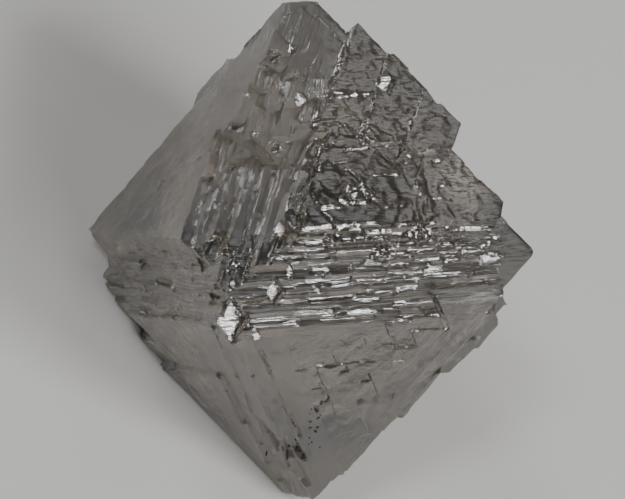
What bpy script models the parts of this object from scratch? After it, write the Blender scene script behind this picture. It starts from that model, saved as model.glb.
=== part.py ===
"""Rough octahedral diamond crystal, lying on one of its faces.

The crystal grew as one solid: an uneven octahedron whose eight faces lie at different distances
from its middle. Each face ends in thin growth layers that stop short of the edges, so most edges
are flights of small steps. Everything is cut along the same eight face directions, which is what
gives a diamond octahedron its look: treads and risers are parallel to the faces beside them.

The crystal is modelled in its own upright frame, in millimetres: X to its right corner, Y to its
back corner and Z to its upper tip. At the end it is turned to lie on its lower back left face.
Run with: blender --background --python part.py
"""

import math
import random

import bmesh
import bpy
from mathutils import Matrix, Vector

MM = 0.001
ROOT3 = math.sqrt(3.0)

# Face directions in the crystal's frame. A reach below is the distance from the middle to where a
# face crosses each axis, so a point P is inside a face when direction . P <= reach.
FACES = {
    "upper_front_right": Vector((1, -1, 1)),
    "upper_front_left": Vector((-1, -1, 1)),
    "upper_back_right": Vector((1, 1, 1)),
    "upper_back_left": Vector((-1, 1, 1)),
    "lower_front_right": Vector((1, -1, -1)),
    "lower_front_left": Vector((-1, -1, -1)),
    "lower_back_right": Vector((1, 1, -1)),
    "lower_back_left": Vector((-1, 1, -1)),
}

# Reach of each face of the main crystal, in millimetres.
BODY = {
    "upper_front_right": 4.80,
    "upper_front_left": 4.90,
    "upper_back_right": 5.04,
    "upper_back_left": 5.29,
    "lower_front_right": 5.67,
    "lower_front_left": 5.55,
    "lower_back_right": 4.97,
    "lower_back_left": 5.42,
}
RESTING_FACE = "lower_back_left"

BLANK = 32.0             # side of the cube that each growth block is cut from
FAR = 64.0               # a reach well outside the crystal
INNER_REACH = 2.0        # where growth blocks end inside the main crystal
REACH_GRID = 32.0        # reaches are whole 32nds of a millimetre, so shared faces meet exactly
CORNER_GRID = 1024.0     # and every corner between such faces is a whole 1024th
TIP_HEIGHT = 4.74        # blunt upper tip, above the middle
FOOT_DEPTH = 4.90        # blunt lower tip, below the middle
TIP_TILT = 0.03          # slope of the two blunt ends
MERGE = 0.0001           # corners nearer than this are one corner
CUT_TOLERANCE = 1e-5     # a corner this near a cutting plane lies on it
FLAT_ANGLE = 0.001       # faces that meet at less than this, in radians, are one face
STEP_PLAY = 0.06         # how far a step strays from even spacing
STAGE_END_PLAY = 0.35    # how far the ends of a stage's blocks stray along the edge
BELT_RIGHT_END = 4.05    # X + Y where the belt's steps end, short of the right corner
BELT_END_PLAY = 0.10     # how far those ends stray
LEFT_STEP_END = 2.90     # Y - X where the fine steps left of the front corner end
LEFT_STEP_DRIFT = 0.12   # how much further left each lower step runs
LEFT_END_PLAY = 0.15
BACK_LAYER_RISE = 0.12   # how far each layer on a back face stands out, as a reach
BACK_LAYER_INSETS = (1.7, 2.7)   # how far the layers stop short of the faces beside them
GROWTH_SEED = 5          # makes the uneven steps the same on every run

LAID_ALONG_X = Vector((0.8026, 0.2750, -0.5277))        # crystal direction that ends up along X

PITS = (                 # triangular pits: face, place along the face, half width, depth
    ("lower_front_right", (2.05, -1.30, -2.32), 0.30, 0.07),
    ("lower_front_right", (1.10, -1.75, -2.82), 0.20, 0.05),
    ("lower_front_right", (2.85, -0.75, -2.07), 0.18, 0.05),
    ("upper_front_left", (-2.50, -1.10, 1.30), 0.16, 0.04),
    ("upper_back_right", (1.90, 1.60, 1.54), 0.34, 0.08),
    ("upper_back_left", (-1.90, 1.90, 1.49), 0.26, 0.07),
    ("lower_back_right", (1.80, 1.40, -1.77), 0.30, 0.08),
)


def clear_scene():
    for old in list(bpy.data.objects):
        bpy.data.objects.remove(old, do_unlink=True)


def new_collection(name):
    collection = bpy.data.collections.new(name)
    bpy.context.scene.collection.children.link(collection)
    return collection


def on_grid(reach):
    return round(reach * REACH_GRID) / REACH_GRID


def snap_corners(mesh):
    for vertex in mesh.verts:
        vertex.co = Vector([round(value * CORNER_GRID) / CORNER_GRID for value in vertex.co])
    bmesh.ops.remove_doubles(mesh, verts=mesh.verts[:], dist=0.5 / CORNER_GRID)


def faceted_block(collection, name, limits):
    """A solid cut from a cube by one plane for each face reach in limits."""
    mesh = bmesh.new()
    bmesh.ops.create_cube(mesh, size=BLANK)
    for face, reach in limits.items():
        everything = mesh.verts[:] + mesh.edges[:] + mesh.faces[:]
        cut = bmesh.ops.bisect_plane(
            mesh, geom=everything, dist=CUT_TOLERANCE, plane_co=FACES[face] * (on_grid(reach) / 3.0),
            plane_no=FACES[face].normalized(), clear_outer=True)
        rim = [part for part in cut["geom_cut"] if isinstance(part, bmesh.types.BMEdge)]
        if len(rim) > 2:
            bmesh.ops.contextual_create(mesh, geom=rim)
        snap_corners(mesh)
    bmesh.ops.recalc_face_normals(mesh, faces=mesh.faces[:])
    return finish_mesh(collection, name, mesh)


def growth_block(collection, name, **reaches):
    """A block that grows out of the main crystal on the named faces and ends inside it elsewhere."""
    return faceted_block(collection, name, {face: INNER_REACH for face in FACES} | reaches)


def finish_mesh(collection, name, mesh):
    data = bpy.data.meshes.new(name)
    mesh.to_mesh(data)
    mesh.free()
    block = bpy.data.objects.new(name, data)
    collection.objects.link(block)
    block.hide_render = True
    block.display_type = "WIRE"
    return block


def uneven_steps(chance, first, last, count, play):
    """Pairs of reaches that step evenly from the first pair to the last, each a little off."""
    steps = []
    for index in range(count):
        share = index / (count - 1)
        inner = 0 < index < count - 1
        shift = chance.uniform(-play, play) if inner else 0.0
        one = first[0] + (last[0] - first[0]) * share + shift
        other = first[1] + (last[1] - first[1]) * share - 0.4 * shift
        steps.append((one, other))
    return steps


def step_prism(collection, name, face_one, face_two, steps):
    """A long solid whose outer edge, between two faces, is a flight of steps."""
    along_one = FACES[face_one]
    along_two = FACES[face_two]
    outward = (along_one + along_two).normalized()
    across = (along_one - along_two).normalized()
    lengthwise = across.cross(outward)

    def corner(reach_one, reach_two):
        reach_one = on_grid(reach_one)
        reach_two = on_grid(reach_two)
        return ((reach_one - reach_two) / 2.0, (reach_one + reach_two) / (2.0 * math.sqrt(2.0)))

    outline = [corner(steps[0][0], -FAR)]
    for index, (reach_one, reach_two) in enumerate(steps):
        outline.append(corner(reach_one, reach_two))
        if index + 1 < len(steps):
            outline.append(corner(steps[index + 1][0], reach_two))
    outline.append(corner(-FAR, steps[-1][1]))

    curve = bpy.data.curves.new(name, "CURVE")
    curve.dimensions = "2D"
    curve.fill_mode = "BOTH"
    curve.extrude = BLANK / 2.0 * math.sqrt(2.0)
    spline = curve.splines.new("POLY")
    spline.points.add(len(outline) - 1)
    for point, (sideways, out) in zip(spline.points, outline):
        point.co = (sideways, out, 0.0, 1.0)
    spline.use_cyclic_u = True
    flat = bpy.data.objects.new(name, curve)
    collection.objects.link(flat)
    bpy.context.view_layer.update()

    mesh = bmesh.new()
    mesh.from_mesh(flat.evaluated_get(bpy.context.evaluated_depsgraph_get()).to_mesh())
    bpy.data.objects.remove(flat, do_unlink=True)
    turn = Matrix((across, outward, lengthwise)).transposed().to_4x4()
    mesh.transform(turn)
    snap_corners(mesh)
    bmesh.ops.recalc_face_normals(mesh, faces=mesh.faces[:])
    return finish_mesh(collection, name, mesh)


def combine(target, tool, operation):
    """Apply one Boolean to the target."""
    modifier = target.modifiers.new(operation.lower(), "BOOLEAN")
    modifier.operation = operation
    modifier.solver = "MANIFOLD"     # the blocks share face planes
    modifier.object = tool
    graph = bpy.context.evaluated_depsgraph_get()
    graph.update()
    result = bpy.data.meshes.new_from_object(target.evaluated_get(graph))
    target.modifiers.clear()
    target.data = result


def belt_blocks(collection, chance):
    """The steps between the upper and lower front right faces, each with its own right end."""
    steps = uneven_steps(chance, (4.80, 3.90), (3.03, 5.67), 7, STEP_PLAY)
    blocks = []
    for index, (upper, lower) in enumerate(steps):
        height = (upper - lower) / 2.0
        upper_end = BELT_RIGHT_END + height + chance.uniform(-BELT_END_PLAY, BELT_END_PLAY)
        lower_end = BELT_RIGHT_END - height + chance.uniform(-BELT_END_PLAY, BELT_END_PLAY)
        if index == 0:
            upper_end = BODY["upper_back_right"]
        blocks.append(faceted_block(collection, f"belt_{index}", BODY | {
            "upper_front_right": upper,
            "lower_front_right": lower,
            "upper_back_right": upper_end,
            "lower_back_right": min(BODY["lower_back_right"], lower_end),
        }))
    return blocks


def stepped_edges(collection, chance):
    """One prism for each edge of the main crystal that ends in steps."""
    flights = (
        ("upper_front_right", "upper_front_left", (4.80, 2.50), (2.60, 4.90), 8),
        ("lower_front_right", "lower_front_left", (5.67, 4.77), (3.50, 5.55), 7),
        ("upper_back_right", "upper_back_left", (5.04, 4.60), (4.40, 5.29), 4),
        ("upper_back_right", "lower_back_right", (5.04, 4.20), (4.10, 4.97), 5),
        ("upper_back_left", "lower_back_left", (5.29, 4.50), (4.40, 5.42), 5),
        ("lower_back_right", "lower_back_left", (4.97, 4.60), (4.10, 5.42), 4),
    )
    prisms = []
    for one, two, first, last, count in flights:
        steps = uneven_steps(chance, first, last, count, STEP_PLAY)
        prisms.append(step_prism(collection, f"steps_{one}_{two}", one, two, steps))
    left_steps = [(4.90, 4.20), (3.65, 4.75), (3.30, 4.98), (2.95, 5.14), (1.75, 5.40), (0.75, 5.55)]
    prisms.append(step_prism(
        collection, "steps_left", "upper_front_left", "lower_front_left", left_steps))
    return prisms


def notches(collection):
    """The re-entrant corner over the left lobe, and the missing edge right of the lower tip."""
    left = faceted_block(collection, "left_notch", {
        "upper_back_right": -4.15,
        "upper_front_right": -4.20,
        "lower_back_right": -3.55,
        "lower_front_right": -3.70,
    })
    lower = faceted_block(collection, "lower_notch", {
        "upper_back_left": -5.22,
        "upper_front_left": -4.66,
        "upper_back_right": -3.45,
        "upper_front_right": -3.30,
    })
    return left, lower


def left_growth(collection, chance):
    """The lobe, the two low plates under it and the fine steps beside the front corner."""
    growth_block(
        collection, "left_lobe",
        upper_front_left=2.95, upper_back_left=3.00, lower_front_left=5.14,
        upper_front_right=1.00, upper_back_right=0.0)
    growth_block(
        collection, "left_plate_high",
        upper_front_left=1.75, upper_back_left=1.75, lower_front_left=5.48,
        upper_front_right=0.0, upper_back_right=0.0)
    growth_block(
        collection, "left_plate_low",
        upper_front_left=0.75, upper_back_left=0.75, lower_front_left=5.67,
        upper_front_right=0.0, upper_back_right=0.0, lower_back_right=0.20, lower_front_right=0.20)
    steps = uneven_steps(chance, (4.90, 3.75), (2.90, 5.45), 7, STEP_PLAY)
    for index, (upper, lower) in enumerate(steps):
        lean = (upper - lower) / 4.0
        end = LEFT_STEP_END + LEFT_STEP_DRIFT * index + chance.uniform(-LEFT_END_PLAY, LEFT_END_PLAY)
        growth_block(
            collection, f"left_step_{index}",
            upper_front_left=upper, lower_front_left=lower,
            upper_back_left=end + lean, lower_back_left=end - lean,
            upper_front_right=2.60, lower_front_right=4.60)


def right_growth(collection):
    """The right corner, set back behind the belt, and the plates along the lower right edge."""
    growth_block(
        collection, "right_corner", upper_front_right=4.00, upper_back_right=4.86,
        lower_front_right=4.60, lower_back_right=5.22)
    growth_block(
        collection, "right_corner_top", upper_front_right=4.30, upper_back_right=4.99,
        lower_front_right=3.60, lower_back_right=3.60)
    ledges = (
        ("right_ledge_long", 5.20, 5.80, 2.60, 2.60, -1.00),
        ("right_ledge_high", 5.00, 5.53, 3.10, 3.10, -1.00),
        ("right_ledge_middle", 5.30, 5.60, 1.50, 3.00, -0.20),
        ("right_ledge_low", 5.67, 5.16, 0.50, 2.00, 1.60),
    )
    for name, front, back, upper_front, upper_back, foot in ledges:
        growth_block(
            collection, name, lower_front_right=front, lower_back_right=back,
            upper_front_right=upper_front, upper_back_right=upper_back,
            lower_front_left=foot, lower_back_left=foot)


def shoulder_growth(collection):
    """Three stacked plates that thicken the upper right edge and end short of the right corner."""
    plates = (
        ("shoulder_wide", 4.93, 5.94, 2.72, 3.65, -0.94, 1.40),
        ("shoulder_middle", 5.05, 5.90, 1.48, 2.60, 0.97, 1.35),
        ("shoulder_top", 5.15, 5.77, 0.25, 1.60, 1.48, 1.30),
    )
    for name, front, back, left_front, left_back, foot_front, foot_back in plates:
        growth_block(
            collection, name, upper_front_right=front, upper_back_right=back,
            upper_front_left=left_front, upper_back_left=left_back,
            lower_front_right=foot_front, lower_back_right=foot_back)


def ridge_stages(collection, chance, stem, right_face, left_face, stages, ends, backs):
    """Blocks that sharpen a stepped front edge stage by stage on the way to its tip.

    A stage is where it starts along the edge, how far its steps spread left and right, and how
    many steps it has. The two faces in ends close a block off away from the tip.
    """
    for stage, (start, left_side, right_side, count) in enumerate(stages):
        first = (BODY[right_face], BODY[right_face] - 2.0 * right_side)
        last = (BODY[left_face] + 2.0 * left_side, BODY[left_face])
        for index, (right, left) in enumerate(uneven_steps(chance, first, last, count, STEP_PLAY)):
            limits = {right_face: right, left_face: left} | backs
            for face in ends:
                limits[face] = chance.uniform(-STAGE_END_PLAY, STAGE_END_PLAY) - start
            growth_block(collection, f"{stem}_{stage}_{index}", **limits)


def ridge_growth(collection, chance):
    """The front edges above and below, the two tips and a plate on the upper left edge."""
    ridge_stages(
        collection, chance, "upper_ridge", "upper_front_right", "upper_front_left",
        ((-0.30, -0.50, 0.95, 5), (1.40, -0.35, 0.60, 4), (2.70, -0.15, 0.45, 3)),
        ("lower_front_right", "lower_front_left"),
        {"upper_back_right": 5.00, "upper_back_left": 5.20})
    ridge_stages(
        collection, chance, "lower_ridge", "lower_front_right", "lower_front_left",
        ((1.60, -0.75, 0.40, 6), (2.60, -0.60, 0.30, 5), (3.40, -0.42, 0.20, 4)),
        ("upper_front_right", "upper_front_left"),
        {"lower_back_right": 4.95, "lower_back_left": 5.36})
    growth_block(
        collection, "upper_tip", upper_front_right=4.75, upper_front_left=4.85,
        upper_back_right=5.51, upper_back_left=5.15,
        lower_front_right=-3.20, lower_front_left=-3.40, lower_back_left=0.0, lower_back_right=0.0)
    growth_block(
        collection, "upper_left_plate", upper_front_right=2.60, upper_front_left=4.90,
        upper_back_right=2.50, upper_back_left=5.77,
        lower_front_right=0.0, lower_front_left=-0.20, lower_back_left=-0.30, lower_back_right=0.0)


def front_corner_growth(collection):
    """Three small blocks that build out the worn front corner under the belt."""
    blocks = (
        ("front_corner_high", 3.60, 3.90, 5.00, 4.70, 2.00),
        ("front_corner_middle", 3.30, 3.35, 5.45, 5.30, 2.00),
        ("front_corner_low", 2.95, 3.00, 5.60, 5.42, 1.50),
    )
    for name, upper_right, upper_left, lower_right, lower_left, left_end in blocks:
        growth_block(
            collection, name, upper_front_right=upper_right, upper_front_left=upper_left,
            lower_front_right=lower_right, lower_front_left=lower_left,
            upper_back_left=left_end, lower_back_left=left_end)


def neighbours(face):
    """The three faces that share an edge with a face."""
    return [name for name, way in FACES.items() if round(way.dot(FACES[face])) == 1]


def opposite(face):
    return next(name for name, way in FACES.items() if round(way.dot(FACES[face])) == -3)


def back_growth(collection):
    """Thin layers, one on the other, on each of the three faces at the back that stay clear."""
    for face in ("upper_back_right", "upper_back_left", "lower_back_right"):
        for level, inset in enumerate(BACK_LAYER_INSETS, start=1):
            limits = {name: BODY[name] - inset for name in neighbours(face)}
            limits[face] = BODY[face] + BACK_LAYER_RISE * level
            growth_block(collection, f"layer_{face}_{level}", **limits)


def pit_cutters(collection):
    """Shallow three-sided pits that point the other way from the face they lie in."""
    pits = []
    for index, (face, place, half_width, depth) in enumerate(PITS):
        spot = Vector(place)
        limits = {opposite(face): -(BODY[face] - depth * ROOT3)}
        for name in neighbours(face):
            limits[opposite(name)] = -(FACES[name].dot(spot) - half_width)
        pits.append(faceted_block(collection, f"pit_{index}", limits))
    return pits


def blunt_tips(crystal):
    """Cut both sharp tips off, nearly level."""
    mesh = bmesh.new()
    mesh.from_mesh(crystal.data)
    cuts = (
        (Vector((0, 0, TIP_HEIGHT)), Vector((0, -TIP_TILT, 1))),
        (Vector((0, 0, -FOOT_DEPTH)), Vector((-TIP_TILT, 0, -1))),
    )
    for place, way in cuts:
        everything = mesh.verts[:] + mesh.edges[:] + mesh.faces[:]
        cut = bmesh.ops.bisect_plane(
            mesh, geom=everything, dist=CUT_TOLERANCE, plane_co=place,
            plane_no=way.normalized(), clear_outer=True)
        rim = [part for part in cut["geom_cut"] if isinstance(part, bmesh.types.BMEdge)]
        bmesh.ops.edgeloop_fill(mesh, edges=rim)
    bmesh.ops.remove_doubles(mesh, verts=mesh.verts[:], dist=MERGE)
    bmesh.ops.dissolve_limit(mesh, angle_limit=FLAT_ANGLE, verts=mesh.verts[:], edges=mesh.edges[:])
    bmesh.ops.recalc_face_normals(mesh, faces=mesh.faces[:])
    mesh.to_mesh(crystal.data)
    mesh.free()


def lay_down(crystal):
    """Turn the crystal onto its resting face and put the origin under the middle of its box."""
    up = -FACES[RESTING_FACE].normalized()
    right = (LAID_ALONG_X - up * LAID_ALONG_X.dot(up)).normalized()
    away = up.cross(right)
    crystal.data.transform(Matrix.Scale(MM, 4) @ Matrix((right, away, up)).to_4x4())
    corners = [vertex.co for vertex in crystal.data.vertices]
    low = Vector([min(corner[axis] for corner in corners) for axis in range(3)])
    high = Vector([max(corner[axis] for corner in corners) for axis in range(3)])
    foot = Vector(((low.x + high.x) / 2.0, (low.y + high.y) / 2.0, low.z))
    crystal.data.transform(Matrix.Translation(-foot))
    return foot


def diamond_material():
    material = bpy.data.materials.new("rough_diamond")
    material.use_nodes = True
    shader = material.node_tree.nodes["Principled BSDF"]
    shader.inputs["Base Color"].default_value = (0.78, 0.75, 0.70, 1.0)
    shader.inputs["Metallic"].default_value = 0.0
    shader.inputs["Roughness"].default_value = 0.15
    shader.inputs["IOR"].default_value = 2.42
    shader.inputs["Transmission Weight"].default_value = 1.0
    return material


def build():
    clear_scene()
    chance = random.Random(GROWTH_SEED)
    parts = new_collection("rough_octahedral_diamond")
    cutters = new_collection("cutters")
    growth = new_collection("growth_blocks")

    first, *others = belt_blocks(cutters, chance)
    crystal = bpy.data.objects.new("diamond_crystal", first.data.copy())
    parts.objects.link(crystal)
    for block in others:
        combine(crystal, block, "UNION")
    for prism in stepped_edges(cutters, chance):
        combine(crystal, prism, "INTERSECT")

    left_growth(growth, chance)
    right_growth(growth)
    shoulder_growth(growth)
    ridge_growth(growth, chance)
    front_corner_growth(growth)
    back_growth(growth)
    left_hollow, lower_hollow = notches(cutters)
    combine(crystal, left_hollow, "DIFFERENCE")
    for block in list(growth.objects):
        combine(crystal, block, "UNION")
    combine(crystal, lower_hollow, "DIFFERENCE")
    for cutter in pit_cutters(cutters):
        combine(crystal, cutter, "DIFFERENCE")

    blunt_tips(crystal)
    foot = lay_down(crystal)
    crystal.data.name = "diamond_crystal"
    crystal.data.materials.append(diamond_material())
    print("faces", len(crystal.data.polygons), "foot from the middle, mm", [round(v / MM, 4) for v in foot])
    return crystal


build()
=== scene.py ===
# %% [markdown]
# # Rough octahedral diamond crystal
#
# The piece is one uncut diamond, about eight millimetres across, lying on one of its eight faces.
# It grew as an octahedron, but unevenly: its faces end in thin layers that stop short of each
# other, so its edges are flights of small steps, and one face has a rough, rippled skin. This
# lesson loads the plain solid as a fixed frame, sets the camera, the floor and the lights, and
# then turns a copy of the solid into a crystal with finer steps, an uneven skin and a see-through
# material.

import math
import random

import bmesh
import bpy
import numpy as np
from mathutils import Matrix, Vector


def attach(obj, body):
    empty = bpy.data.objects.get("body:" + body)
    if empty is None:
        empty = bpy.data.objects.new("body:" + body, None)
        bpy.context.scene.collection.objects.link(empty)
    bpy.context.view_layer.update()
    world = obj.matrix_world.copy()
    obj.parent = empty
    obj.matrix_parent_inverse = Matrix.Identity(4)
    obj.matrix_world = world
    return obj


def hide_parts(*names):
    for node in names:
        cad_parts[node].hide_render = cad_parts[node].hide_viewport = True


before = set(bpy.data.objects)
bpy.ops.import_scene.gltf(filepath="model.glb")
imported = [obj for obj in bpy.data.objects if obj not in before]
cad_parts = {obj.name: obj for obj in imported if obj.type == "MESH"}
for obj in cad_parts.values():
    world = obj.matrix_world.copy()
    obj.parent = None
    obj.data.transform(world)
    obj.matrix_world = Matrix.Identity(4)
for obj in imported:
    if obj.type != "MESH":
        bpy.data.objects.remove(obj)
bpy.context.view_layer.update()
MM = 0.001                 # metres in a millimetre

# %% [markdown]
# ## The crystal's own axes
#
# A diamond octahedron is easiest to think about standing on its point: X to its right corner, Y
# to its back corner and Z to its upper tip, in millimetres. In these axes every face lies along
# one of eight directions such as (1, -1, 1). A number called a reach says how far out a face is:
# a point P is under the face when direction . P is less than the reach. The scene stands in
# metres with the crystal lying down, so one matrix goes from the crystal's axes to the scene.

# %% Axes and faces of the crystal
FACES = {
    "upper_front_right": Vector((1, -1, 1)),
    "upper_front_left": Vector((-1, -1, 1)),
    "upper_back_right": Vector((1, 1, 1)),
    "upper_back_left": Vector((-1, 1, 1)),
    "lower_front_right": Vector((1, -1, -1)),
    "lower_front_left": Vector((-1, -1, -1)),
    "lower_back_right": Vector((1, 1, -1)),
    "lower_back_left": Vector((-1, 1, -1)),
}
RESTING_FACE = "lower_back_left"
LAID_ALONG_X = Vector((0.8026, 0.2750, -0.5277))       # crystal direction that lies along scene X
MIDDLE = Vector((-0.06428, 0.15048, 3.12130))          # the crystal's middle in the scene, in mm
UPPER_TIP = Vector((0, 0, 4.74))                       # mm

up = -FACES[RESTING_FACE].normalized()
right = (LAID_ALONG_X - up * LAID_ALONG_X.dot(up)).normalized()
away = up.cross(right)
TURN = Matrix((right, away, up))
TO_SCENE = Matrix.Scale(MM, 4) @ Matrix.Translation(MIDDLE) @ TURN.to_4x4()
print("upper tip in the scene, mm:", [round(value / MM, 2) for value in TO_SCENE @ UPPER_TIP])

# %% [markdown]
# ## Camera
#
# The crystal lies down, but it is looked at as if it stood on its point. So the camera looks down
# on it and is rolled until the crystal's Z axis runs up the view. A long lens keeps the view
# almost free of perspective, which is how small stones are usually shown.

# %% Camera
TOWARD_CAMERA = Vector((0.3593, -0.9312, 0.0610))      # directions in the crystal's axes
CAMERA_RIGHT = Vector((0.9331, 0.3575, -0.0383))
CAMERA_UP = Vector((0.0139, 0.0707, 0.9974))
LENS = 200.0                                           # mm, on a sensor 36 mm wide
SENSOR = 36.0
VIEW_WIDTH = 12.255                                    # mm at the crystal
VIEW_SHIFT = Vector((0.186, -0.088))                   # mm from the crystal's middle to the view's
NEAREST, FARTHEST = 0.001, 10.0                        # metres that the camera sees between

lens = bpy.data.cameras.new("lens")
lens.lens = LENS
lens.sensor_width = SENSOR
lens.clip_start = NEAREST
lens.clip_end = FARTHEST
camera = bpy.data.objects.new("camera", lens)
bpy.context.scene.collection.objects.link(camera)
bpy.context.scene.camera = camera
target = CAMERA_RIGHT * VIEW_SHIFT.x + CAMERA_UP * VIEW_SHIFT.y
distance = VIEW_WIDTH * LENS / SENSOR
facing = Matrix([TURN @ way for way in (CAMERA_RIGHT, CAMERA_UP, TOWARD_CAMERA)]).transposed()
place = TO_SCENE @ (target + TOWARD_CAMERA.normalized() * distance)
camera.matrix_world = Matrix.Translation(place) @ facing.to_4x4()
print("camera is", round(distance, 1), "mm from the crystal")

# %% [markdown]
# ## Floor
#
# The crystal lies on plain pale paper. A flat plane with one grey would do, but real paper isn't
# one even grey, so a very weak noise shifts its shade.

# %% Floor
FLOOR_SIDE = 1.2                                       # metres
PAPER_ROUGHNESS = 0.8
PAPER_GRAIN = 60.0                                     # noise scale, in clouds per metre
PAPER_SHADES = ((0.62, 0.61, 0.60, 1.0), (0.66, 0.65, 0.64, 1.0))

bpy.ops.object.select_all(action="DESELECT")
bpy.ops.mesh.primitive_plane_add(size=FLOOR_SIDE)
floor = bpy.context.object
floor.name = "floor"
paper = bpy.data.materials.new("pale_paper")
paper.use_nodes = True
nodes, links = paper.node_tree.nodes, paper.node_tree.links
shader = nodes["Principled BSDF"]
shader.inputs["Roughness"].default_value = PAPER_ROUGHNESS
where = nodes.new("ShaderNodeTexCoord")
grain = nodes.new("ShaderNodeTexNoise")
grain.inputs["Scale"].default_value = PAPER_GRAIN
shade = nodes.new("ShaderNodeMix")
shade.data_type = "RGBA"
shade.inputs["A"].default_value, shade.inputs["B"].default_value = PAPER_SHADES
links.new(where.outputs["Object"], grain.inputs["Vector"])
links.new(grain.outputs["Fac"], shade.inputs["Factor"])
links.new(shade.outputs["Result"], shader.inputs["Base Color"])
floor.data.materials.append(paper)
print("floor:", round(floor.dimensions.x, 2), "m wide, with", len(nodes), "nodes in its paper")

# %% [markdown]
# ## Light
#
# Diamond shows what it mirrors. Light from all sides would make it look flat, so a dim even sky
# keeps its flat faces dark, and softboxes stand where the rounded edges of the steps mirror them
# toward the camera: one for the steep edges between the two upper front faces, one for the level
# edges of the belt, one over it for the broken bits of the front corner, and a larger key light
# low on the right, which also throws a soft shadow to the left. A weak panel behind is mirrored
# in the upper right face, and the ripples there break it up.

# %% Sky
SKY = 0.12
SKY_COLOUR = (1.0, 0.99, 0.97, 1.0)
world = bpy.data.worlds.new("soft_sky")
world.use_nodes = True
sky = world.node_tree.nodes["Background"]
sky.inputs["Color"].default_value = SKY_COLOUR
sky.inputs["Strength"].default_value = SKY
bpy.context.scene.world = world
print("sky strength:", SKY)

# %% Softboxes
SOFTBOXES = (      # name, direction in the crystal's axes, distance and side in mm, watts
    ("steep_edge_light", Vector((-0.36, -0.06, 0.93)), 120.0, 34.0, 0.038),
    ("belt_light", Vector((0.93, -0.36, -0.06)), 120.0, 34.0, 0.070),
    ("top_light", Vector((0.22, -0.82, 0.52)), 120.0, 26.0, 0.030),
    ("key_light", Vector((0.77, -0.56, -0.29)), 200.0, 70.0, 0.14),
    ("back_panel", Vector((0.54, 0.03, 0.84)), 160.0, 72.0, 0.013),
)
for name, way, far, side, watts in SOFTBOXES:
    data = bpy.data.lights.new(name, "AREA")
    data.shape = "SQUARE"
    data.size = side * MM
    data.energy = watts
    box = bpy.data.objects.new(name, data)
    bpy.context.scene.collection.objects.link(box)
    aim = (TURN @ way).normalized()
    box.location = TO_SCENE @ Vector() + aim * far * MM
    box.rotation_mode = "QUATERNION"
    box.rotation_quaternion = aim.to_track_quat("Z", "Y")
    print(name, "at height", round(box.location.z / MM, 1), "mm")

# %% [markdown]
# ## A copy to work on
#
# The plain solid stays as it is: it is the frame. The crystal is a copy of its mesh. The copy's
# triangles are loose, so its doubles are merged first, and it goes back to the crystal's own
# axes. There every corner belongs on a fine grid, and putting the corners exactly on it lets the
# Boolean cuts below meet without gaps.

# %% Put corners on a grid
CORNER_GRID = 1024.0       # corners lie on whole 1024ths of a millimetre


def activate(piece):
    bpy.ops.object.select_all(action="DESELECT")
    piece.select_set(True)
    bpy.context.view_layer.objects.active = piece


def snap_corners(data):
    for vertex in data.vertices:
        vertex.co = [round(value * CORNER_GRID) / CORNER_GRID for value in vertex.co]


# %% Copy, merge and stand up
MERGE_DISTANCE = 0.0001    # mm
FLAT_ANGLE = 0.001         # radians; triangles that bend less are one face

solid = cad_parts["diamond_crystal"]
crystal = bpy.data.objects.new("rough_crystal", solid.data.copy())
bpy.context.scene.collection.objects.link(crystal)
crystal.data.materials.clear()
crystal.data.transform(TO_SCENE.inverted())
snap_corners(crystal.data)
activate(crystal)
bpy.ops.object.mode_set(mode="EDIT")
bpy.ops.mesh.select_all(action="SELECT")
bpy.ops.mesh.remove_doubles(threshold=MERGE_DISTANCE)
bpy.ops.mesh.customdata_custom_splitnormals_clear()
bpy.ops.mesh.dissolve_limited(angle_limit=FLAT_ANGLE)
bpy.ops.object.mode_set(mode="OBJECT")
print("copy:", len(crystal.data.vertices), "corners,", len(crystal.data.polygons), "faces")

# %% [markdown]
# ## Finer steps
#
# On the real stone every big step is itself broken into smaller ones that start and stop along
# its length. They could be painted with a bump pattern, but a step is a shape: it has its own
# lit side and breaks the outline. So layers are added in the inner corners of the flights, and
# chips are taken off the outer ones. Both are the same thing: a cube cut by planes along the
# crystal's own face directions, which leaves ledges that look grown and not sawn.

# %% Name a face by its normal
REACH_GRID = 32.0          # reaches are whole 32nds
STEP = 1.0 / REACH_GRID    # the thinnest layer
PLANES_MEET = 0.999        # cosine at which a normal counts as a face direction


def on_grid(reach):
    return round(reach * REACH_GRID) / REACH_GRID


def face_of(normal):
    names = (name for name, way in FACES.items() if normal.dot(way.normalized()) > PLANES_MEET)
    return next(names, None)


print("one step:", STEP, "and on the grid 5.65 is", on_grid(5.65))


# %% Find the long edges of the steps
def step_edges(piece, shortest, outer):
    """Long edges between two neighbouring faces, as (face, reach, face, reach, start, end)."""
    mesh = bmesh.new()
    mesh.from_mesh(piece.data)
    bmesh.ops.dissolve_limit(mesh, angle_limit=FLAT_ANGLE, verts=mesh.verts[:], edges=mesh.edges[:])
    found = []
    for edge in mesh.edges:
        if len(edge.link_faces) != 2 or edge.is_convex != outer or edge.calc_length() < shortest:
            continue
        names = sorted(str(face_of(side.normal)) for side in edge.link_faces)
        if "None" in names or RESTING_FACE in names:
            continue
        first, second = (FACES[name] for name in names)
        if round(first.dot(second)) != 1:
            continue
        along = (first - second).cross(first + second) / 4.0
        one, two = (vertex.co for vertex in edge.verts)
        span = sorted((along.dot(one), along.dot(two)))
        reaches = on_grid(first.dot(one)), on_grid(second.dot(one))
        found.append((first, reaches[0], second, reaches[1], span[0], span[1]))
    mesh.free()
    return found


print("inner edges over 1 mm on the plain solid:", len(step_edges(crystal, 1.0, False)))

# %% [markdown]
# ## One block along an edge
#
# A layer on the real stone ends in slanted ends, because they follow the crystal's faces too. So
# a block is held between its edge's two faces and ends along slanted planes, which lean to one
# side or the other by chance. A plain box would be simpler, but its square ends look foreign on
# an octahedron.

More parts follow.
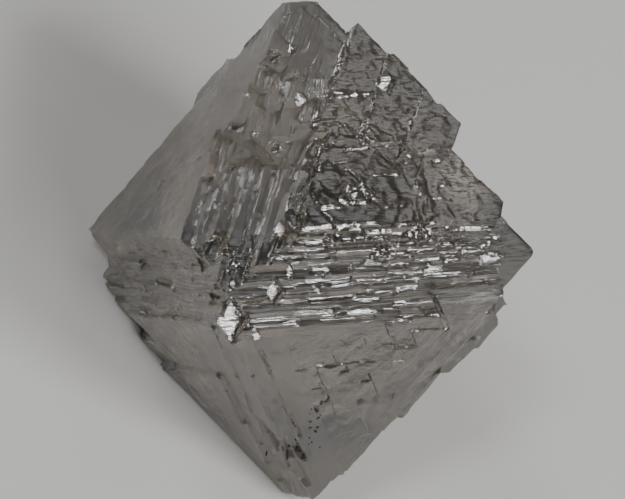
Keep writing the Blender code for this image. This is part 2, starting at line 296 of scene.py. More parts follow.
# %% Plan one block along a step's edge
BLOCK_MARGIN = 0.30        # mm that a block's cube reaches past it
HALF_SPAN = 2.8            # "along" is about 1.4 long, so half a span is the whole over 2.8


def edge_block(edge, start, end, inward, outward, lean):
    """Middle, half size and limits of a block on one stretch of an edge, between two depths."""
    first, first_reach, second, second_reach = edge[:4]
    across = (first - second) / 2.0
    out = (first + second) / 2.0
    along = across.cross(out)
    offset = (first_reach - second_reach) / 2.0
    height = (first_reach + second_reach) / 2.0
    start_lean, end_lean = lean
    limits = (
        (-first, inward[0] - first_reach),
        (-second, inward[1] - second_reach),
        (first, first_reach + outward[0]),
        (second, second_reach + outward[1]),
        (along - across * end_lean, on_grid(end - offset * end_lean)),
        (across * start_lean - along, on_grid(offset * start_lean - start)),
    )
    middle = across * offset + out * (height / 2.0) + along * ((start + end) / 4.0)
    return middle, (end - start) / HALF_SPAN + BLOCK_MARGIN, limits


# %% Plan rows of blocks
SHORTEST_BLOCK = 0.25
LEVEL_STRETCH = 1.8        # layers on the level flights of the belt are longer


def rows_of_blocks(edges, chance, spacing, lengths, depths, outer):
    """Plans for blocks along every edge, each with its own place, length and depth."""
    plans = []
    for edge in edges:
        start, end = edge[4:]
        stretch = LEVEL_STRETCH if edge[0].z != edge[2].z else 1.0
        for _ in range(max(1, round((end - start) / spacing / stretch))):
            length = chance.uniform(*lengths) * stretch
            middle = chance.uniform(start, end)
            sizes = [chance.choice(depths) * STEP for _ in range(2)]
            lean = [chance.choice((-1, 1)) for _ in range(2)]
            low, high = max(start, middle - length / 2.0), min(end, middle + length / 2.0)
            if high - low < SHORTEST_BLOCK:
                continue
            inward, outward = (sizes, (STEP, STEP)) if outer else ((STEP, STEP), sizes)
            plans.append(edge_block(edge, low, high, inward, outward, lean))
    return plans


# %% [markdown]
# ## Many blocks, few Booleans
#
# A Boolean for every small block would take minutes. Blocks that stay apart can share one mesh
# and one Boolean, so the plans are sorted into batches. Each batch is modelled in edit mode: add
# a cube, bisect it once for every limit, hide it, and go on with the next.

# %% Sort the plans into batches
def apart(one, other):
    return any(abs(a - b) > one[1] + other[1] for a, b in zip(one[0], other[0]))


def batches_of(plans):
    batches = []
    for plan in plans:
        free_of = (batch for batch in batches if all(apart(plan, other) for other in batch))
        home = next(free_of, None)
        if home is None:
            batches.append([plan])
        else:
            home.append(plan)
    return batches


# %% Cut the blocks of one batch
CUBE_GRID = 4.0            # cubes stand on quarters of a millimetre
CUBE_MARGIN = 0.5          # mm that a cube reaches past its block's half size
CUT_THRESHOLD = 0.00001    # mm


def cut_blocks(name, plans):
    """One mesh with a faceted block for every plan."""
    blocks = bpy.data.objects.new(name, bpy.data.meshes.new(name))
    bpy.context.scene.collection.objects.link(blocks)
    activate(blocks)
    bpy.ops.object.mode_set(mode="EDIT")
    for middle, half, limits in plans:
        side = math.ceil((half + CUBE_MARGIN) * 2.0 * CUBE_GRID) / CUBE_GRID
        place = [round(value * CUBE_GRID) / CUBE_GRID for value in middle]
        bpy.ops.mesh.primitive_cube_add(size=side, location=place)
        for way, reach in limits:
            bpy.ops.mesh.select_all(action="SELECT")
            bpy.ops.mesh.bisect(
                plane_co=way * (reach / way.length_squared), plane_no=way, use_fill=True,
                clear_outer=True, threshold=CUT_THRESHOLD)
        bpy.ops.mesh.select_all(action="SELECT")
        bpy.ops.mesh.hide(unselected=False)
    bpy.ops.mesh.reveal()
    bpy.ops.object.mode_set(mode="OBJECT")
    snap_corners(blocks.data)
    return blocks


# %% Combine the batches with the crystal
def combine(target, plans, operation):
    """Add or take away every planned block."""
    batches = batches_of(plans)
    for number, batch in enumerate(batches):
        blocks = cut_blocks(f"{operation.lower()}_{number}", batch)
        activate(target)
        change = target.modifiers.new(operation.lower(), "BOOLEAN")
        change.operation = operation
        change.solver = "MANIFOLD"
        change.object = blocks
        bpy.ops.object.modifier_apply(modifier=change.name)
        bpy.data.objects.remove(blocks, do_unlink=True)
    print(operation.lower(), len(plans), "blocks in", len(batches), "batches:",
          len(target.data.polygons), "faces")


# %% [markdown]
# ## Growing the steps
#
# The flights were left by layers that stopped growing, and by chips that broke off. Placing each
# by hand would take hundreds of numbers, and real ones follow no plan either, so chance places
# them along the edges that are there. Layers come first, then chips, each round with smaller
# sizes, so that big steps carry small ones. A fixed seed makes the same crystal every time.

# %% Grow layers and chip the steps
GROWTH_SEED = 4
ROUNDS = (       # outer edges, shortest edge, spacing, lengths, depths in grid steps
    (False, 0.60, 1.3, (0.6, 2.4), (2, 3, 4, 5)),
    (True, 0.60, 1.2, (0.4, 2.0), (1, 2, 2, 3, 4)),
    (False, 0.50, 1.5, (0.4, 1.6), (1, 1, 2, 3)),
)
chance = random.Random(GROWTH_SEED)
for outer, shortest, spacing, lengths, depths in ROUNDS:
    edges = step_edges(crystal, shortest, outer)
    plans = rows_of_blocks(edges, chance, spacing, lengths, depths, outer)
    combine(crystal, plans, "DIFFERENCE" if outer else "UNION")

# %% [markdown]
# ## Thin plates on the faces
#
# Layers don't only end at the edges. On the real stone some stop in the middle of a face, as
# plates a few hundredths of a millimetre thick with sides along the other face directions. A
# plate is planned like a block, by limits: its top lies just over the face, and the directions of
# the three neighbouring faces end it.

# %% Plan a plate on a face
PLATE_SPREAD = 0.9         # mm of half size for each unit of a plate's largest side


def neighbours(face):
    return [name for name, way in FACES.items() if round(way.dot(FACES[face])) == 1]


def plate(face, point, thickness, sizes, depth=STEP):
    """A thin layer on one face, ending along the three neighbouring face directions."""
    way = FACES[face]
    point = Vector(point)
    level = on_grid(way.dot(point))
    limits = [(way, level + thickness * STEP), (-way, on_grid(depth) - level)]
    for name, size in zip(sorted(neighbours(face)), sizes):
        limits.append((FACES[name], on_grid(FACES[name].dot(point) + size)))
    return point, max(sizes) * PLATE_SPREAD + BLOCK_MARGIN, limits


print("upper front right meets", sorted(neighbours("upper_front_right")))
print("lower front right meets", sorted(neighbours("lower_front_right")))

# %% Ends of layers on the steep flight
ROOT_DEPTH = 0.30          # reach that a plate goes down where the skin under it isn't flat
STEEP_ENDS = (             # a point on each, with how far it reaches to the left
    ((-0.07, -0.96, 3.71), 0.30), ((0.20, -0.65, 3.82), 0.20), ((0.33, -0.95, 3.35), 0.25),
    ((0.56, -1.20, 2.85), 0.40), ((0.27, -1.87, 1.96), 0.20), ((-0.14, -1.97, 2.26), 0.30),
    ((-0.33, -1.83, 1.94), 0.25), ((-1.00, -2.18, 1.41), 0.30), ((-0.58, -2.05, 1.59), 0.25),
    ((-0.54, -1.96, 2.41), 0.20), ((-0.44, -3.25, 0.37), 0.25), ((0.93, -3.20, 0.41), 0.30),
)
STEEP_LENGTHS, STEEP_THICKNESS = (0.6, 1.6), (2, 3, 4)           # thickness in grid steps
plates = []
for point, left in STEEP_ENDS:
    sizes = (0.0, chance.uniform(*STEEP_LENGTHS), left)
    thickness = chance.choice(STEEP_THICKNESS)
    plates.append(plate("upper_front_right", point, thickness, sizes, depth=ROOT_DEPTH))
print("ends on the steep flight:", len(plates))

# %% Thin layers on the rippled upper right face
LEVEL_PLATES = 44
SKIN_LOW, SKIN_HIGH = (0.9, 0.35), (3.4, 3.3)          # where they lie: X and Z
SKIN_REACH = FACES["upper_front_right"].dot(Vector((2.04, -1.81, 0.97)))
NO_CORNERS, FRONT_ONLY = 5.4, -0.2                     # none too near a corner or the back
SHORT_SIDE, LONG_SIDE, SKIN_THICKNESS = (0.03, 0.20), (0.2, 0.8), (1, 1, 2)
for _ in range(LEVEL_PLATES):
    x, z = chance.uniform(SKIN_LOW[0], SKIN_HIGH[0]), chance.uniform(SKIN_LOW[1], SKIN_HIGH[1])
    y = x + z - SKIN_REACH
    if abs(x) + abs(y) + abs(z) > NO_CORNERS or y > FRONT_ONLY:
        continue
    sizes = [chance.uniform(*side) for side in (SHORT_SIDE, LONG_SIDE, LONG_SIDE)]
    thickness = chance.choice(SKIN_THICKNESS)
    plates.append(plate("upper_front_right", (x, y, z), thickness, sizes))
print("with the upper right face:", len(plates), "plates")

# %% Thin layers on the lower right face
LOWER_FACE_REACH = 5.65    # the face is smooth, with thin layers along the lower right edge
LOWER_PLATES = 16
LOWER_MARGINS, LOWER_HEIGHTS = (3.5, 4.7), (-3.2, -1.0)          # reach toward that edge, and Z
LOWER_SIDES, LOWER_THICKNESS = ((0.0, 0.05), (0.3, 1.2), (0.3, 1.0)), (1, 2)
LEVEL_THICKNESS = 2
LEVEL_LINES = (            # layers in the same face that end level: point, and reach to both sides
    ((1.63, -1.91, -2.11), 1.10), ((1.94, -0.89, -2.81), 0.26), ((1.34, -2.25, -2.06), 0.30),
    ((2.55, -1.75, -1.35), 0.45),
)
for _ in range(LOWER_PLATES):
    margin, z = chance.uniform(*LOWER_MARGINS), chance.uniform(*LOWER_HEIGHTS)
    point = ((margin + LOWER_FACE_REACH) / 2.0 + z, (margin - LOWER_FACE_REACH) / 2.0, z)
    sizes = [chance.uniform(*side) for side in LOWER_SIDES]
    thickness = chance.choice(LOWER_THICKNESS)
    plates.append(plate("lower_front_right", point, thickness, sizes, depth=ROOT_DEPTH))
for point, side in LEVEL_LINES:
    sizes = (side, side, 0.0)
    plates.append(plate("lower_front_right", point, LEVEL_THICKNESS, sizes, depth=ROOT_DEPTH))
combine(crystal, plates, "UNION")

# %% [markdown]
# ## Broken corners and triangular pits
#
# Diamond splits along flat planes, so where a corner broke off it leaves a bright flat facet.
# Weak etching leaves shallow three-sided pits, called trigons, that point the other way than the
# face they lie in. A facet could come from a bevel, but a bevel takes the whole edge. So both are
# planned by limits again and taken away.

# %% Plan a facet and a pit
FACET_MARGIN = 0.1         # mm that a facet's cube reaches past it


def broken_corner(point, length, depth, one, other):
    """A block that takes off an edge between two faces and leaves a flat facet."""
    way = (FACES[one] + FACES[other]) / 2.0
    across = (FACES[one] - FACES[other]) / 2.0
    along = across.cross(way)
    point = Vector(point)
    middle = along.dot(point)
    limits = [(-way, depth - way.dot(point))]
    for lean in (across, -across):
        limits.append((along + lean, middle + length / 2.0 + lean.dot(point)))
        limits.append((lean - along, lean.dot(point) + length / 2.0 - middle))
    return point, length / 2.0 + FACET_MARGIN, limits


def trigon(face, point, size, depth):
    """A three-sided pit, turned half round against the face it lies in."""
    way, point = FACES[face], Vector(point)
    limits = [(-way, depth - on_grid(way.dot(point)))]
    for name in sorted(neighbours(face)):
        limits.append((-FACES[name], on_grid(size - FACES[name].dot(point))))
    return point, BLOCK_MARGIN + size, limits


# %% Break the corners and etch the pits
BELT_FACETS = (            # facets on the edge of the two right faces: point, length, depth
    ((0.21, -4.12, -1.11), 0.80, 0.38), ((0.48, -3.80, -1.50), 0.40, 0.14),
    ((0.83, -3.52, -0.65), 0.56, 0.36), ((1.02, -3.30, -0.30), 0.30, 0.14),
    ((0.93, -3.20, 0.41), 0.50, 0.40), ((0.05, -3.92, -1.50), 0.26, 0.20),
    ((2.80, -1.52, 0.25), 0.22, 0.20), ((3.05, -1.28, 0.20), 0.18, 0.16),
    ((0.56, -1.24, 2.85), 0.40, 0.14), ((0.20, -0.69, 3.82), 0.25, 0.09),
    ((2.90, -1.42, 0.31), 0.40, 0.14), ((1.86, -0.06, 3.15), 0.60, 0.14),
)
STEEP_FACETS = (           # facets on the edge of the two upper faces
    ((-0.07, -1.00, 3.71), 0.30, 0.09), ((0.27, -1.92, 1.96), 0.30, 0.09),
    ((-0.54, -2.00, 2.41), 0.30, 0.09), ((-0.11, -3.58, 0.15), 0.30, 0.09),
)
TRIGON_DEPTH = 2 * STEP
TRIGONS = (                # point and size of the pits in the lower right face
    ((1.34, -2.25, -2.06), 0.16), ((1.90, -2.00, -1.75), 0.12), ((1.50, -1.90, -2.25), 0.10),
    ((2.30, -1.60, -1.75), 0.14), ((1.00, -2.10, -2.55), 0.10), ((1.75, -1.45, -2.45), 0.12),
    ((2.60, -1.90, -1.15), 0.10), ((0.90, -2.60, -2.15), 0.14),
)
cuts = [broken_corner(*facet, "upper_front_right", "lower_front_right") for facet in BELT_FACETS]
cuts += [broken_corner(*facet, "upper_front_right", "upper_front_left") for facet in STEEP_FACETS]
cuts += [trigon("lower_front_right", point, size, TRIGON_DEPTH) for point, size in TRIGONS]
combine(crystal, cuts, "DIFFERENCE")

# %% [markdown]
# ## An even mesh
#
# Booleans leave long thin faces, which can't bend. Subdividing them would give slivers. Remesh in
# its sharp mode lays small even faces over the shape and keeps the edges of the steps, so the
# next cells can make the skin uneven and round the edges a little.

# %% Remesh
REMESH_DEPTH = 8           # the box is split in half this many times
REMESH_SCALE = 0.9


def apply_modifier(piece, name, kind, **settings):
    activate(piece)
    change = piece.modifiers.new(name, kind)
    for setting, value in settings.items():
        setattr(change, setting, value)
    bpy.ops.object.modifier_apply(modifier=change.name)


apply_modifier(crystal, "even", "REMESH", mode="SHARP", octree_depth=REMESH_DEPTH,
               scale=REMESH_SCALE, sharpness=1.0, use_remove_disconnected=True)
print("even mesh:", len(crystal.data.polygons), "faces")

# %% [markdown]
# ## Where the skin is rough
#
# The skin isn't the same everywhere. The upper right face is rippled, small crumbly spots
# sparkle where layers end, and the rest is smooth and only slightly wavy. A weight from 0 to 1
# says at every corner how much of each kind there is. Weights could be painted by hand, but here
# they follow from where a corner lies and which way its skin looks.

# %% Read the mesh and measure distances
def read_corners(data, what="co"):
    """Places, or normals, of all corners, one row each."""
    values = np.empty(len(data.vertices) * 3)
    data.vertices.foreach_get(what, values)
    return values.reshape(-1, 3)


def smooth_step(values, low, high):
    share = np.clip((values - low) / (high - low), 0.0, 1.0)
    return share * share * (3.0 - 2.0 * share)


def distance_to(points, middle):
    return np.linalg.norm(points - np.array(middle), axis=1)


places = read_corners(crystal.data)
x, y, z = places.T
right_face = np.array(FACES["upper_front_right"].normalized())
looks_right = read_corners(crystal.data, "normal") @ right_face
print("corners that look along the upper right face:", int((looks_right > PLANES_MEET).sum()))

# %% Free, belt and rippled skin
LIFTED = (0.05, 0.5)                     # mm over the floor: the resting face stays flat
BELT_MIDDLE, BELT_EDGE, BELT_START = -0.45, (0.8, 1.3), (-0.4, 0.6)
BELT_KEPT = 0.65                         # the belt's steps stay straighter than the others
RIPPLED_FRONT = (-1.6, 0.4)              # x + y + z
RIPPLED_FACE = (4.2, 4.5)                # reach of the upper right face
RIPPLED_LOW, RIPPLED_LEFT = (-0.9, -0.2), (0.4, 1.2)
RIPPLED_LOOK = (0.5, 0.9)

height = (np.array(TURN) @ places.T)[2] + MIDDLE.z
free = smooth_step(height, *LIFTED)
belt = (1.0 - smooth_step(np.abs(z - BELT_MIDDLE), *BELT_EDGE)) * smooth_step(x, *BELT_START)
rippled = smooth_step(x + y + z, *RIPPLED_FRONT) * smooth_step(x - y + z, *RIPPLED_FACE)
rippled *= smooth_step(z, *RIPPLED_LOW)
rippled *= smooth_step(looks_right, *RIPPLED_LOOK) * smooth_step(x, *RIPPLED_LEFT)
print("highest corner:", round(float(height.max()), 2), "mm over the floor")

# %% Crumbly spots
CRUMBLY = (      # middle in the crystal's axes, radius
    ((-0.07, -0.96, 3.71), 0.16), ((0.20, -0.65, 3.82), 0.10), ((0.33, -0.95, 3.35), 0.08),
    ((0.50, -1.20, 2.85), 0.10), ((0.27, -1.87, 1.96), 0.12), ((-0.54, -1.96, 2.41), 0.08),
    ((-0.14, -1.97, 2.26), 0.07), ((-0.58, -2.05, 1.59), 0.09), ((-1.00, -2.18, 1.41), 0.12),
    ((-1.46, -1.64, 1.81), 0.10), ((-0.44, -3.25, 0.37), 0.14), ((-0.11, -3.55, 0.15), 0.18),
    ((0.12, -3.78, -0.13), 0.16), ((-0.15, -3.92, -0.72), 0.16), ((0.93, -3.20, 0.41), 0.08),
    ((0.83, -3.50, -0.65), 0.07), ((0.21, -4.12, -1.11), 0.12), ((0.02, -3.89, -1.53), 0.16),
    ((2.04, -1.81, 0.97), 0.20), ((2.90, -1.38, 0.31), 0.30), ((2.37, -0.97, 1.47), 0.16),
    ((1.09, -0.15, 3.63), 0.12), ((1.32, -0.55, 3.07), 0.10), ((2.35, -1.94, 0.10), 0.22),
    ((3.46, -0.74, -0.05), 0.20), ((3.87, -0.41, -0.12), 0.16), ((-2.69, -0.43, -2.43), 0.22),
    ((-2.13, -2.02, -0.22), 0.14), ((1.59, -2.65, 0.25), 0.20),
)


def crumbly_share(points):
    """1 in the middle of every crumbly spot, fading round it."""
    share = np.zeros(len(points))
    for middle, radius in CRUMBLY:
        share = np.maximum(share, np.exp(-(distance_to(points, middle) / radius) ** 2))
    return share


crumbly = crumbly_share(places)
print("crumbly corners:", int((crumbly > 0.5).sum()))

# %% A pit, a crescent and round layers
PIT = (1.71, -2.05, 1.05)                # a small round pit in the upper right face
PIT_RIM = (0.06, 0.18)                   # mm from its middle: all pit, and none
CRESCENT_MIDDLE = (2.10, -1.58, 1.13)    # a raised crescent beside it
CRESCENT_RADIUS, CRESCENT_WIDTH = 0.30, 0.06
CRESCENT_SIDE = Vector((-0.60, -0.62, -0.35))
CRESCENT_ENDS = (0.3, 0.8)
CURVED_STEPS = (0.72, 1.05, 1.35, 1.72)  # radii of very thin round layers about the pit
CURVED_EDGE = 0.03
CURVED_LOOK, CURVED_LEFT = (0.6, 0.9), (0.6, 1.0)
NEVER_ZERO = 0.001                       # mm, so that nothing is divided by zero

from_pit = distance_to(places, PIT)
pit = 1.0 - smooth_step(from_pit, *PIT_RIM)
from_middle = distance_to(places, CRESCENT_MIDDLE)
across_ring = np.exp(-((from_middle - CRESCENT_RADIUS) / CRESCENT_WIDTH) ** 2)
way_round = (places - np.array(CRESCENT_MIDDLE)) @ np.array(CRESCENT_SIDE.normalized())
way_round = way_round / np.maximum(from_middle, NEVER_ZERO)
crescent = across_ring * smooth_step(way_round, *CRESCENT_ENDS)
discs = sum(1.0 - smooth_step(from_pit, radius - CURVED_EDGE, radius + CURVED_EDGE)
            for radius in CURVED_STEPS)
curved = discs / len(CURVED_STEPS) * smooth_step(looks_right, *CURVED_LOOK)
curved = curved * smooth_step(x, *CURVED_LEFT)
print("corners in the pit:", int((pit > 0.5).sum()))
print("corners on the crescent:", int((crescent > 0.5).sum()))

# %% Write the weights as vertex groups
GROUP_LEVELS = 20          # a group is filled in twentieths, which is much quicker than one by one
weights = {"free": free * (1.0 - BELT_KEPT * belt), "rippled": rippled * free,
           "crumbly": crumbly * free, "pit": pit, "crescent": crescent, "curved": curved}
for name, values in weights.items():
    group = crystal.vertex_groups.new(name=name)
    levels = np.round(values * GROUP_LEVELS).astype(int)
    for level in range(1, GROUP_LEVELS + 1):
        group.add(np.nonzero(levels == level)[0].tolist(), level / GROUP_LEVELS, "REPLACE")
    print(name, "share of the skin:", round(float(values.mean()), 3))

# %% [markdown]
# ## Uneven skin
#
# The skin of the real stone wanders by a few hundredths of a millimetre. Sculpting would do it
# once, but Displace modifiers push the skin about with cloud noise, and can be changed by a
# number. Three-way noise makes straight edges wander, and noise along the normal makes ripples
# and crumbs. Then a light smoothing wears the sharp edges, so that they catch the light as a
# line and not only as a change of shade.

# %% Ways to move the skin
def push(name, distance):
    """Move the skin along its normal by a vertex group's weight."""
    apply_modifier(crystal, name, "DISPLACE", strength=distance, mid_level=0.0, vertex_group=name)


def displace(name, scale, strength, group, direction="NORMAL"):
    """Move the skin about by cloud noise, in a vertex group."""
    texture = bpy.data.textures.new(name, "CLOUDS")
    texture.noise_scale = scale
    texture.noise_depth = 2
    texture.cloud_type = "COLOR" if direction == "RGB_TO_XYZ" else "GRAYSCALE"
    apply_modifier(crystal, name, "DISPLACE", texture=texture, texture_coords="LOCAL",
                   direction=direction, strength=strength, mid_level=0.5, vertex_group=group)


# %% Push and displace
push("curved", 0.10)
push("pit", -0.13)
push("crescent", 0.08)
displace("wandering_edges", 0.70, 0.10, "free", "RGB_TO_XYZ")
displace("small_wander", 0.20, 0.035, "free", "RGB_TO_XYZ")
displace("ripples", 0.24, 0.045, "rippled")
displace("fine_ripples", 0.10, 0.022, "rippled")
displace("crumbs", 0.12, 0.08, "crumbly")
displace("fine_crumbs", 0.07, 0.07, "crumbly", "RGB_TO_XYZ")
moved = np.linalg.norm(read_corners(crystal.data) - places, axis=1)
print("the skin moved by up to", round(float(moved.max()), 3), "mm")

# %% Wear the edges and thin the mesh
MOST_TRIANGLES = 190000
apply_modifier(crystal, "worn_edges", "SMOOTH", factor=0.5, iterations=2)
triangles = sum(len(polygon.vertices) - 2 for polygon in crystal.data.polygons)
apply_modifier(crystal, "fewer_faces", "DECIMATE", decimate_type="COLLAPSE",
               ratio=MOST_TRIANGLES / triangles)
print("skin:", triangles, "triangles, thinned to", len(crystal.data.polygons), "faces")

# %% [markdown]
# ## Weights for the material
#
# Growth lines too fine for the mesh run differently on every part of the stone. The material
# could find its place by its own maths, but it is simpler to tell it. A thinned mesh has new
# corners, so the weights are worked out again and kept on them as attributes: "steep", "level"
# and "slanted" say where the finest lines run, and which way.

# %% Attributes on the finished mesh
STEEP_MIDDLE, STEEP_EDGE = -0.3, (0.7, 1.5)
LEVEL_MIDDLE, LEVEL_EDGE = -0.5, (0.7, 1.2)
LOWER_FACE = (5.1, 5.5)                  # reach of the lower right face
SKIN_FACE, SKIN_LEFT = (4.2, 4.6), (0.5, 1.3)
SPECKLED_DOWN, SLANTED_EDGE = (0.9, 1.5), (2.8, 3.9)

crystal.vertex_groups.clear()
places = read_corners(crystal.data)
x, y, z = places.T
steep = 1.0 - smooth_step(np.abs(x - STEEP_MIDDLE), *STEEP_EDGE)
level = 1.0 - smooth_step(np.abs(z - LEVEL_MIDDLE), *LEVEL_EDGE)
lower_face = smooth_step(x - y - z, *LOWER_FACE)
finishes = {
    "steep": steep * (1.0 - level),
    "level": level,
    "rippled": smooth_step(x - y + z, *SKIN_FACE) * smooth_step(x, *SKIN_LEFT),
    "speckled": lower_face * smooth_step(-z, *SPECKLED_DOWN),
    "slanted": lower_face * smooth_step(x + y - z, *SLANTED_EDGE),
    "crumbly": crumbly_share(places),
}
for name, values in finishes.items():
    attribute = crystal.data.attributes.new(name, "FLOAT", "POINT")
    attribute.data.foreach_set("value", values.astype(np.float32))
    print(name, "share of the corners:", round(float(values.mean()), 3))

# %% [markdown]
# ## Back to the scene
#
# The shape is done, so the crystal goes from its own axes to where the plain solid lies. Nothing
# of it may sink into the floor, so corners under it are lifted to it. Then all but its sharp
# edges are shaded smooth.

# %% Lay the crystal down
SHARP_ANGLE = math.radians(32)
crystal.data.transform(TO_SCENE)
lowest = min(vertex.co.z for vertex in crystal.data.vertices)
for vertex in crystal.data.vertices:
    vertex.co.z = max(vertex.co.z, 0.0)
activate(crystal)
bpy.ops.object.shade_smooth_by_angle(angle=SHARP_ANGLE)
print("lowest corner was", round(lowest / MM, 4), "mm and is now on the floor")

# %% [markdown]
# ## Rough diamond
#
# Clear diamond bends light strongly: its index of refraction is 2.42. The growth skin is satin,
# so the surface is slightly rough, and a little is absorbed on the way through, which gives the
# smoky grey. The finest growth lines are narrower than the faces of the mesh, so they are bump.
# They are noise stretched along the crystal's own axes: thin in X on the steep flights, thin in Z
# on the level ones, and thin in Y beside the lower right edge.

# %% Material helpers
def add(nodes, kind, **values):
    """A node of one kind, with its sockets and settings."""
    node = nodes.new("ShaderNode" + kind)
    for name, value in values.items():
        if name in node.inputs:
            node.inputs[name].default_value = value
        else:
            setattr(node, name, value)
    return node


def stretched_noise(nodes, links, vector, scale, detail=3.0, roughness=0.6):
    """Noise with its own scale along each of the crystal's axes."""
    stretch = add(nodes, "Mapping", Scale=scale)
    cloud = add(nodes, "TexNoise", Scale=1.0, Detail=detail, Roughness=roughness)
    links.new(vector, stretch.inputs["Vector"])
    links.new(stretch.outputs["Vector"], cloud.inputs["Vector"])
    return cloud.outputs["Fac"]


def blend(nodes, links, factor, one, other):
    """A value between two others, by a factor from 0 to 1."""
    mix = add(nodes, "Mix")
    for socket, value in (("Factor", factor), ("A", one), ("B", other)):
        if isinstance(value, float):
            mix.inputs[socket].default_value = value
        else:
            links.new(value, mix.inputs[socket])
    return mix.outputs["Result"]


def weight(nodes, name):
    return add(nodes, "Attribute", attribute_name=name).outputs["Fac"]


# %% Clear and a little smoky
DIAMOND_IOR = 2.42
DIAMOND_TINT = (0.95, 0.93, 0.89, 1.0)
SMOKE_COLOUR, SMOKE_DENSITY = (0.58, 0.52, 0.44, 1.0), 260.0     # density per metre

diamond = bpy.data.materials.new("rough_diamond")
diamond.use_nodes = True
nodes, links = diamond.node_tree.nodes, diamond.node_tree.links
shader = nodes["Principled BSDF"]
shader.inputs["Base Color"].default_value = DIAMOND_TINT
shader.inputs["IOR"].default_value = DIAMOND_IOR
shader.inputs["Transmission Weight"].default_value = 1.0
smoke = add(nodes, "VolumeAbsorption", Color=SMOKE_COLOUR, Density=SMOKE_DENSITY)
links.new(smoke.outputs["Volume"], nodes["Material Output"].inputs["Volume"])
mirrored = ((DIAMOND_IOR - 1.0) / (DIAMOND_IOR + 1.0)) ** 2
print("seen straight on, the skin mirrors", round(mirrored * 100), "percent")

# %% Fine growth lines
LINES = (                  # attribute, and noise per mm along X, Y and Z
    ("rippled", (2.8, 2.8, 11.0)), ("slanted", (0.8, 13.0, 0.8)),
    ("steep", (20.0, 0.9, 0.9)), ("level", (0.8, 0.8, 15.0)),
)
GRAIN, GRAIN_LEFT = (9.0, 9.0, 9.0), 0.3       # grain, and its share outside the speckled part
LINE_DEPTH = 0.025 * MM

where = add(nodes, "TexCoord")
to_crystal = add(nodes, "Mapping", Scale=(1.0 / MM, 1.0 / MM, 1.0 / MM))
to_crystal.inputs["Rotation"].default_value = TURN.transposed().to_euler()
to_crystal.inputs["Location"].default_value = -(TURN.transposed() @ MIDDLE)
links.new(where.outputs["Object"], to_crystal.inputs["Vector"])
place = to_crystal.outputs["Vector"]
grain = stretched_noise(nodes, links, place, GRAIN, detail=4.0)
weak_grain = blend(nodes, links, GRAIN_LEFT, 0.5, grain)
lines = blend(nodes, links, weight(nodes, "speckled"), weak_grain, grain)
for name, scale in LINES:
    finer = stretched_noise(nodes, links, place, scale)
    lines = blend(nodes, links, weight(nodes, name), lines, finer)
bump = add(nodes, "Bump", Strength=1.0, Distance=LINE_DEPTH)
links.new(lines, bump.inputs["Height"])
links.new(bump.outputs["Normal"], shader.inputs["Normal"])
print("growth lines:", len(nodes), "nodes")

# %% Satin and gloss
PATCHES = (1.1, 1.1, 1.1)                # noise per mm
GLOSSY, SATIN = 0.08, 0.30               # roughness, from patch to patch
STEEP_SATIN, CRUMB_GLOSS = 0.38, 0.10

patches = stretched_noise(nodes, links, place, PATCHES, detail=2.0)
rough = blend(nodes, links, patches, GLOSSY, SATIN)
rough = blend(nodes, links, weight(nodes, "steep"), rough, STEEP_SATIN)
rough = blend(nodes, links, weight(nodes, "crumbly"), rough, CRUMB_GLOSS)
links.new(rough, shader.inputs["Roughness"])
crystal.data.materials.clear()
crystal.data.materials.append(diamond)
crystal.data.polygons.foreach_set("material_index", [0] * len(crystal.data.polygons))
print("rough diamond:", len(nodes), "nodes on", len(crystal.data.polygons), "faces")

# %% [markdown]
# ## Black specks inside
#
# Near the lower tip a few black grains of graphite sit in the stone, right under its skin, and
# some just break through it. They could be dark spots in the material, but they are small solids
# that the clear stone grew around. One grain is modelled, a ball with a lumpy skin pressed flat,
# and each speck is a copy of its mesh, scaled, turned to lie in the plane of the lower right face
# and put on the nearest spot of the finished skin.

# %% One grain of graphite
LUMP_SCALE, LUMP_HEIGHT = 0.35, 0.7      # on a ball one unit across
bpy.ops.object.select_all(action="DESELECT")
bpy.ops.mesh.primitive_ico_sphere_add(subdivisions=3, radius=0.5)
grain_of_graphite = bpy.context.object
grain_of_graphite.name = "graphite_specks"
lumps = bpy.data.textures.new("lumps", "CLOUDS")
lumps.noise_scale = LUMP_SCALE
lumps.noise_depth = 3
apply_modifier(grain_of_graphite, "lumpy", "DISPLACE", texture=lumps, strength=LUMP_HEIGHT,
               mid_level=0.5)
lump = grain_of_graphite.data.copy()
print("one grain:", len(lump.polygons), "faces")

# %% Where the specks are
SPECKS = (      # point on the lower right face, width, height, thickness in mm, turn in degrees
    ((0.84, -1.77, -3.06), 0.11, 0.24, 0.05, 30), ((0.93, -1.78, -2.90), 0.07, 0.12, 0.05, 10),
    ((0.69, -1.46, -3.50), 0.08, 0.10, 0.05, 20), ((0.62, -1.62, -3.41), 0.04, 0.08, 0.04, -30),
    ((0.26, -1.20, -3.86), 0.26, 0.20, 0.08, -12), ((0.36, -1.16, -3.98), 0.14, 0.24, 0.06, -10),
    ((-0.02, -1.20, -3.98), 0.05, 0.30, 0.04, 12), ((0.06, -1.25, -3.80), 0.08, 0.07, 0.04, 0),
    ((-0.62, -0.80, -4.00), 0.04, 0.22, 0.04, 8), ((1.00, -1.84, -2.78), 0.05, 0.06, 0.04, 0),
)
SPECK_SEED, SMALL_SPECKS = 9, 22
LOWER_CLUSTER, UPPER_CLUSTER = Vector((0.20, -1.20, -3.90)), Vector((1.02, -1.84, -2.78))
SPREAD_SIDEWAYS, SPREAD_UPWARD = 0.11, 0.08                      # mm
SMALL_WIDTHS, SMALL_THICKNESS, SMALL_TURN = (0.025, 0.05), 0.03, 40

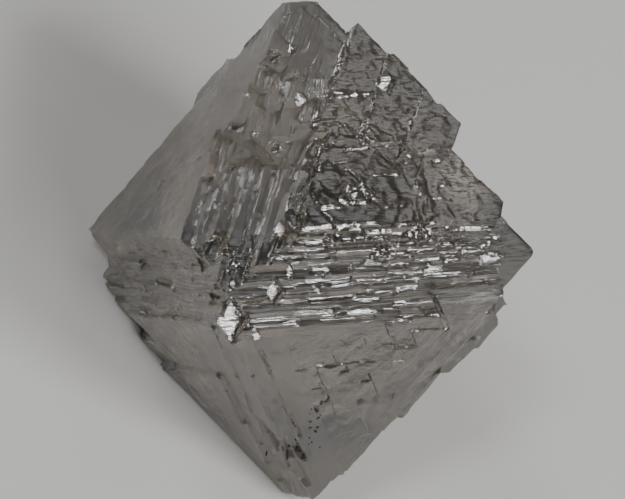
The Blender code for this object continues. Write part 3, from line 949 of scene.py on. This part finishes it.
face = FACES["lower_front_right"].normalized()
upward = (Vector((0, 0, 1)) - face * face.z).normalized()
sideways = upward.cross(face)
scattered = random.Random(SPECK_SEED)
specks = list(SPECKS)
for _ in range(SMALL_SPECKS):
    point = LOWER_CLUSTER.lerp(UPPER_CLUSTER, scattered.uniform(0.0, 1.0))
    across, along = scattered.gauss(0, SPREAD_SIDEWAYS), scattered.gauss(0, SPREAD_UPWARD)
    point += sideways * across + upward * along
    width = scattered.uniform(*SMALL_WIDTHS)
    tall = width * scattered.uniform(1.0, 2.0)
    specks.append((point, width, tall, SMALL_THICKNESS, scattered.uniform(-SMALL_TURN, SMALL_TURN)))
print("specks:", len(specks))

# %% Place the specks
OVER_SKIN = 0.008          # mm that a speck stands out of the skin
SPIN_EACH = 1.3            # radians, so that each shows another side of the lump
flat_on_face = Matrix((sideways, upward, face)).transposed().to_4x4()
together = bmesh.new()
for number, (point, width, tall, thick, turn) in enumerate(specks):
    _, skin, outward, _ = crystal.closest_point_on_mesh(TO_SCENE @ Vector(point))
    point = TO_SCENE.inverted() @ skin - TURN.transposed() @ outward * (thick * 0.5 - OVER_SKIN)
    piece = lump.copy()
    spin = Matrix.Rotation(number * SPIN_EACH, 4, "Y")
    lie = Matrix.Translation(point) @ flat_on_face @ Matrix.Rotation(math.radians(turn), 4, "Z")
    piece.transform(TO_SCENE @ lie @ Matrix.Diagonal((width, tall, thick, 1.0)) @ spin)
    together.from_mesh(piece)
    bpy.data.meshes.remove(piece)
together.to_mesh(grain_of_graphite.data)
together.free()
bpy.data.meshes.remove(lump)
activate(grain_of_graphite)
bpy.ops.object.shade_smooth()
print("all specks:", len(grain_of_graphite.data.polygons), "faces")

# %% [markdown]
# ## Graphite
#
# Graphite is black and half dull, with small flakes that shine more. A flat black would look like
# a hole, so a fine noise shifts the gloss between the two.

# %% Graphite
GRAPHITE_BLACK, GRAPHITE_IOR = (0.010, 0.010, 0.011, 1.0), 1.5
FLAKES = (9000.0, 9000.0, 9000.0)        # noise per metre
FLAKE_GLOSS, FLAKE_DULL = 0.35, 0.7

graphite = bpy.data.materials.new("graphite")
graphite.use_nodes = True
nodes, links = graphite.node_tree.nodes, graphite.node_tree.links
shader = nodes["Principled BSDF"]
shader.inputs["Base Color"].default_value = GRAPHITE_BLACK
shader.inputs["IOR"].default_value = GRAPHITE_IOR
where = add(nodes, "TexCoord")
flakes = stretched_noise(nodes, links, where.outputs["Object"], FLAKES)
links.new(blend(nodes, links, flakes, FLAKE_GLOSS, FLAKE_DULL), shader.inputs["Roughness"])
grain_of_graphite.data.materials.append(graphite)
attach(grain_of_graphite, "root")
print("graphite:", len(nodes), "nodes")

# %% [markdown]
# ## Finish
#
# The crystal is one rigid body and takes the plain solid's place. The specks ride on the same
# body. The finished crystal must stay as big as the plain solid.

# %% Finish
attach(crystal, "root")
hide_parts("diamond_crystal")
